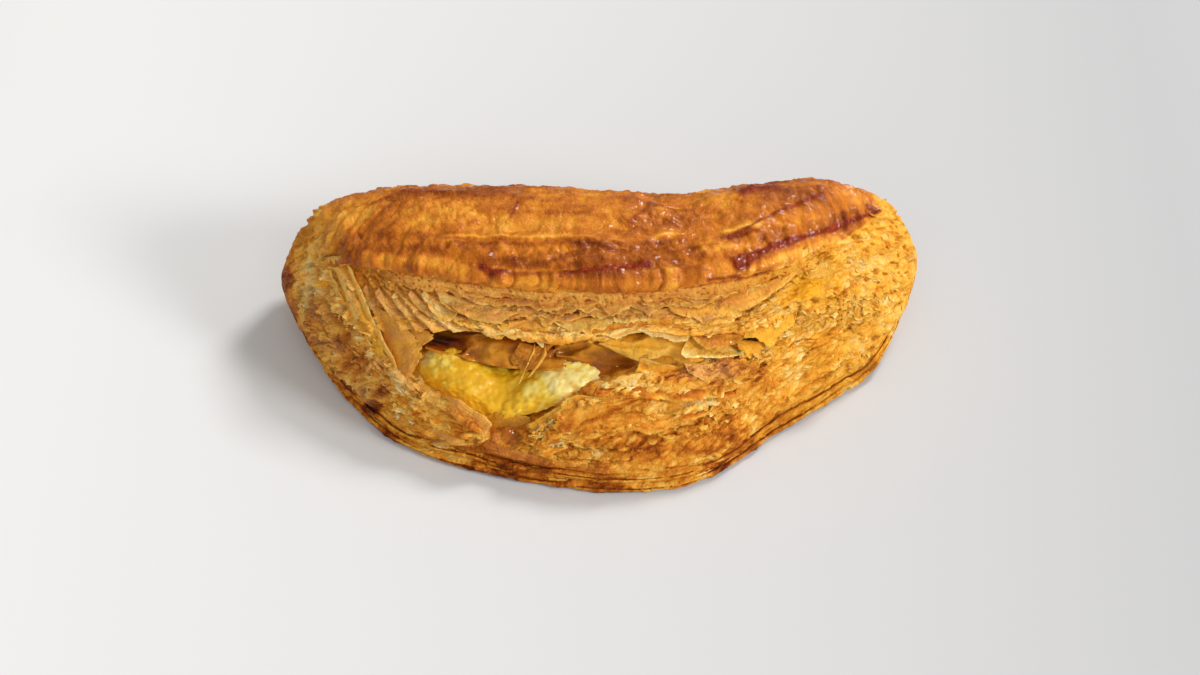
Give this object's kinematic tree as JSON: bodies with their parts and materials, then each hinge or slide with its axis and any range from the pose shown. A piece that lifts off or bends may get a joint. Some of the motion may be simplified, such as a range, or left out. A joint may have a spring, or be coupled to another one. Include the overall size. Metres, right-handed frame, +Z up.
{
  "type": "tiropita",
  "caption": "Half-moon cheese pie of folded puff pastry with a glossy baked top crust, torn open along its round side so that the cheese filling shows.",
  "frame": {"origin": "centre of the pie's bounding box in plan, at the level of its flat underside", "axes": "+X along the fold, +Y from the torn round side towards the fold, +Z up"},
  "size_m": [0.17, 0.0846, 0.0446],
  "materials": {
    "pastry": "baked puff pastry: glossy egg-washed golden brown on top, dull flaky tan and amber layers at the torn side and the rim",
    "cheese_filling": "moist lumpy cheese, deep yellow to pale cream"
  },
  "bodies": {
    "root": {"pastry": "pastry", "cheese_filling": "cheese_filling"}
  },
  "joints": []
}
